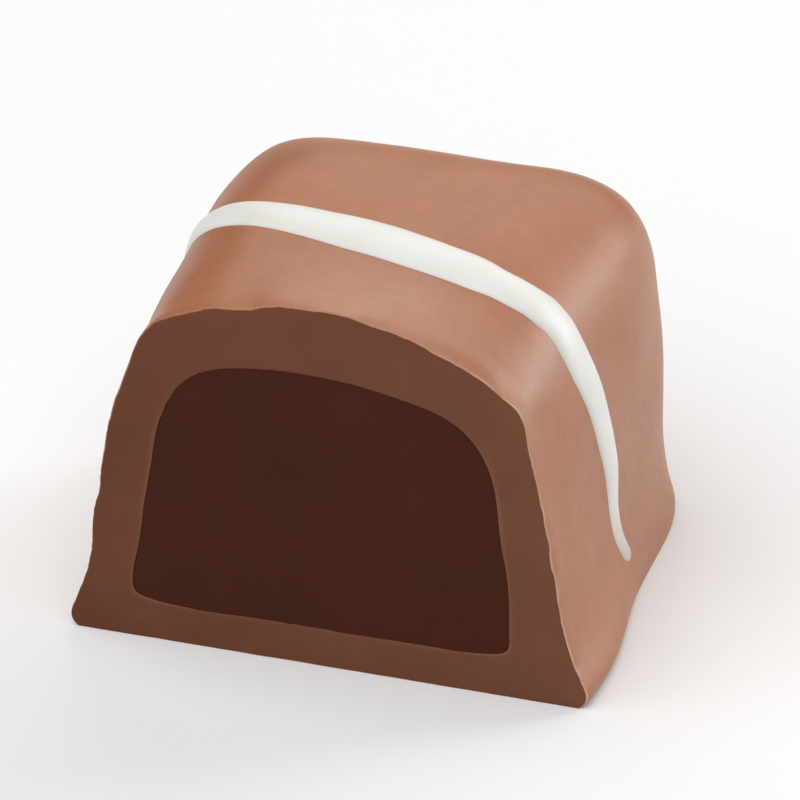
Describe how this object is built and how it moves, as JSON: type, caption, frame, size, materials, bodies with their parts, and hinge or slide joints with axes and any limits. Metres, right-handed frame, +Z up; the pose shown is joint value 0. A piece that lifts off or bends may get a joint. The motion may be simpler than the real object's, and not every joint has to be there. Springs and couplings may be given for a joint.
{
  "type": "chocolate truffle",
  "caption": "Soft block-shaped milk chocolate truffle, cut across to show its dark ganache centre, with a white chocolate stripe over the top.",
  "frame": {"origin": "middle of the bounding box, on the base", "axes": "+Z up; the cut face looks along -Y; +X is to the right as the cut face is seen from the front"},
  "size_m": [0.0274, 0.0246, 0.0205],
  "materials": {
    "milk_chocolate": "satin, smooth as it set; matt where it is cut",
    "dark_ganache": "dense and smooth, cut with a warm knife",
    "white_chocolate": "satin, drizzled"
  },
  "bodies": {
    "root": {"milk_chocolate_coat": "milk_chocolate", "dark_ganache_centre": "dark_ganache"}
  },
  "joints": []
}
